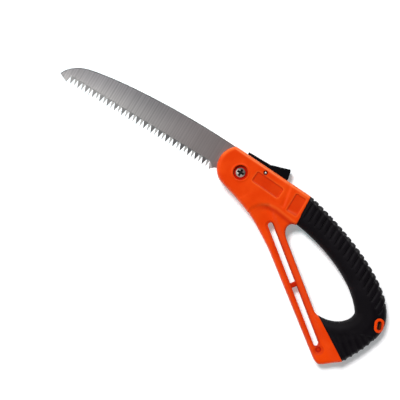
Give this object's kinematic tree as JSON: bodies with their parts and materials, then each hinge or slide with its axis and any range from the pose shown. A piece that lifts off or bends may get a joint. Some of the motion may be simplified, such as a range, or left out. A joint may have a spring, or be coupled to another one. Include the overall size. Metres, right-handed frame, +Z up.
{
  "type": "folding pruning saw",
  "caption": "Folding pruning saw: toothed steel blade that swings into a slotted hand guard, ribbed soft D-grip and a thumb lever that locks the blade.",
  "frame": {"origin": "on the pivot axis of the blade, in the plane of the flat back face that the saw lies on", "axes": "+X from the open blade's tip toward the grip, parallel to the toothed edge; +Y toward the spine and the lock lever; +Z up out of the front face, along the pivot axis"},
  "size_m": [0.4305, 0.1592, 0.024],
  "materials": {
    "shell": "satin moulded orange plastic",
    "grip": "matt black soft moulding with ribs",
    "blade_steel": "ground steel, grain across the blade",
    "bright_steel": "bright plated steel",
    "lever": "matt black plastic"
  },
  "bodies": {
    "handle": {"front_shell": "shell", "back_shell": "shell", "front_grip": "grip", "back_grip": "grip", "pivot_screw": "bright_steel", "pivot_nut": "bright_steel", "pivot_bush": "bright_steel", "front_washer": "bright_steel", "back_washer": "bright_steel", "lock_pin": "bright_steel", "lock_spring": "bright_steel", "stop_pin": "bright_steel", "shell_screws": "bright_steel"},
    "blade": {"blade": "blade_steel"},
    "lock": {"lock_lever": "lever"}
  },
  "joints": [
    {"name": "blade_fold", "type": "hinge", "parent": "handle", "child": "blade", "pos_m": [0, 0, 0.012], "axis": [0, 0, 1], "range_deg": [0, 142.5]},
    {"name": "lock_press", "type": "hinge", "parent": "handle", "child": "lock", "pos_m": [0.0225, 0.0134, 0.012], "axis": [0, 0, -1], "range_deg": [-6, 5], "stiffness_Nm_per_rad": 0.5, "deforming": ["lock_spring"]}
  ]
}
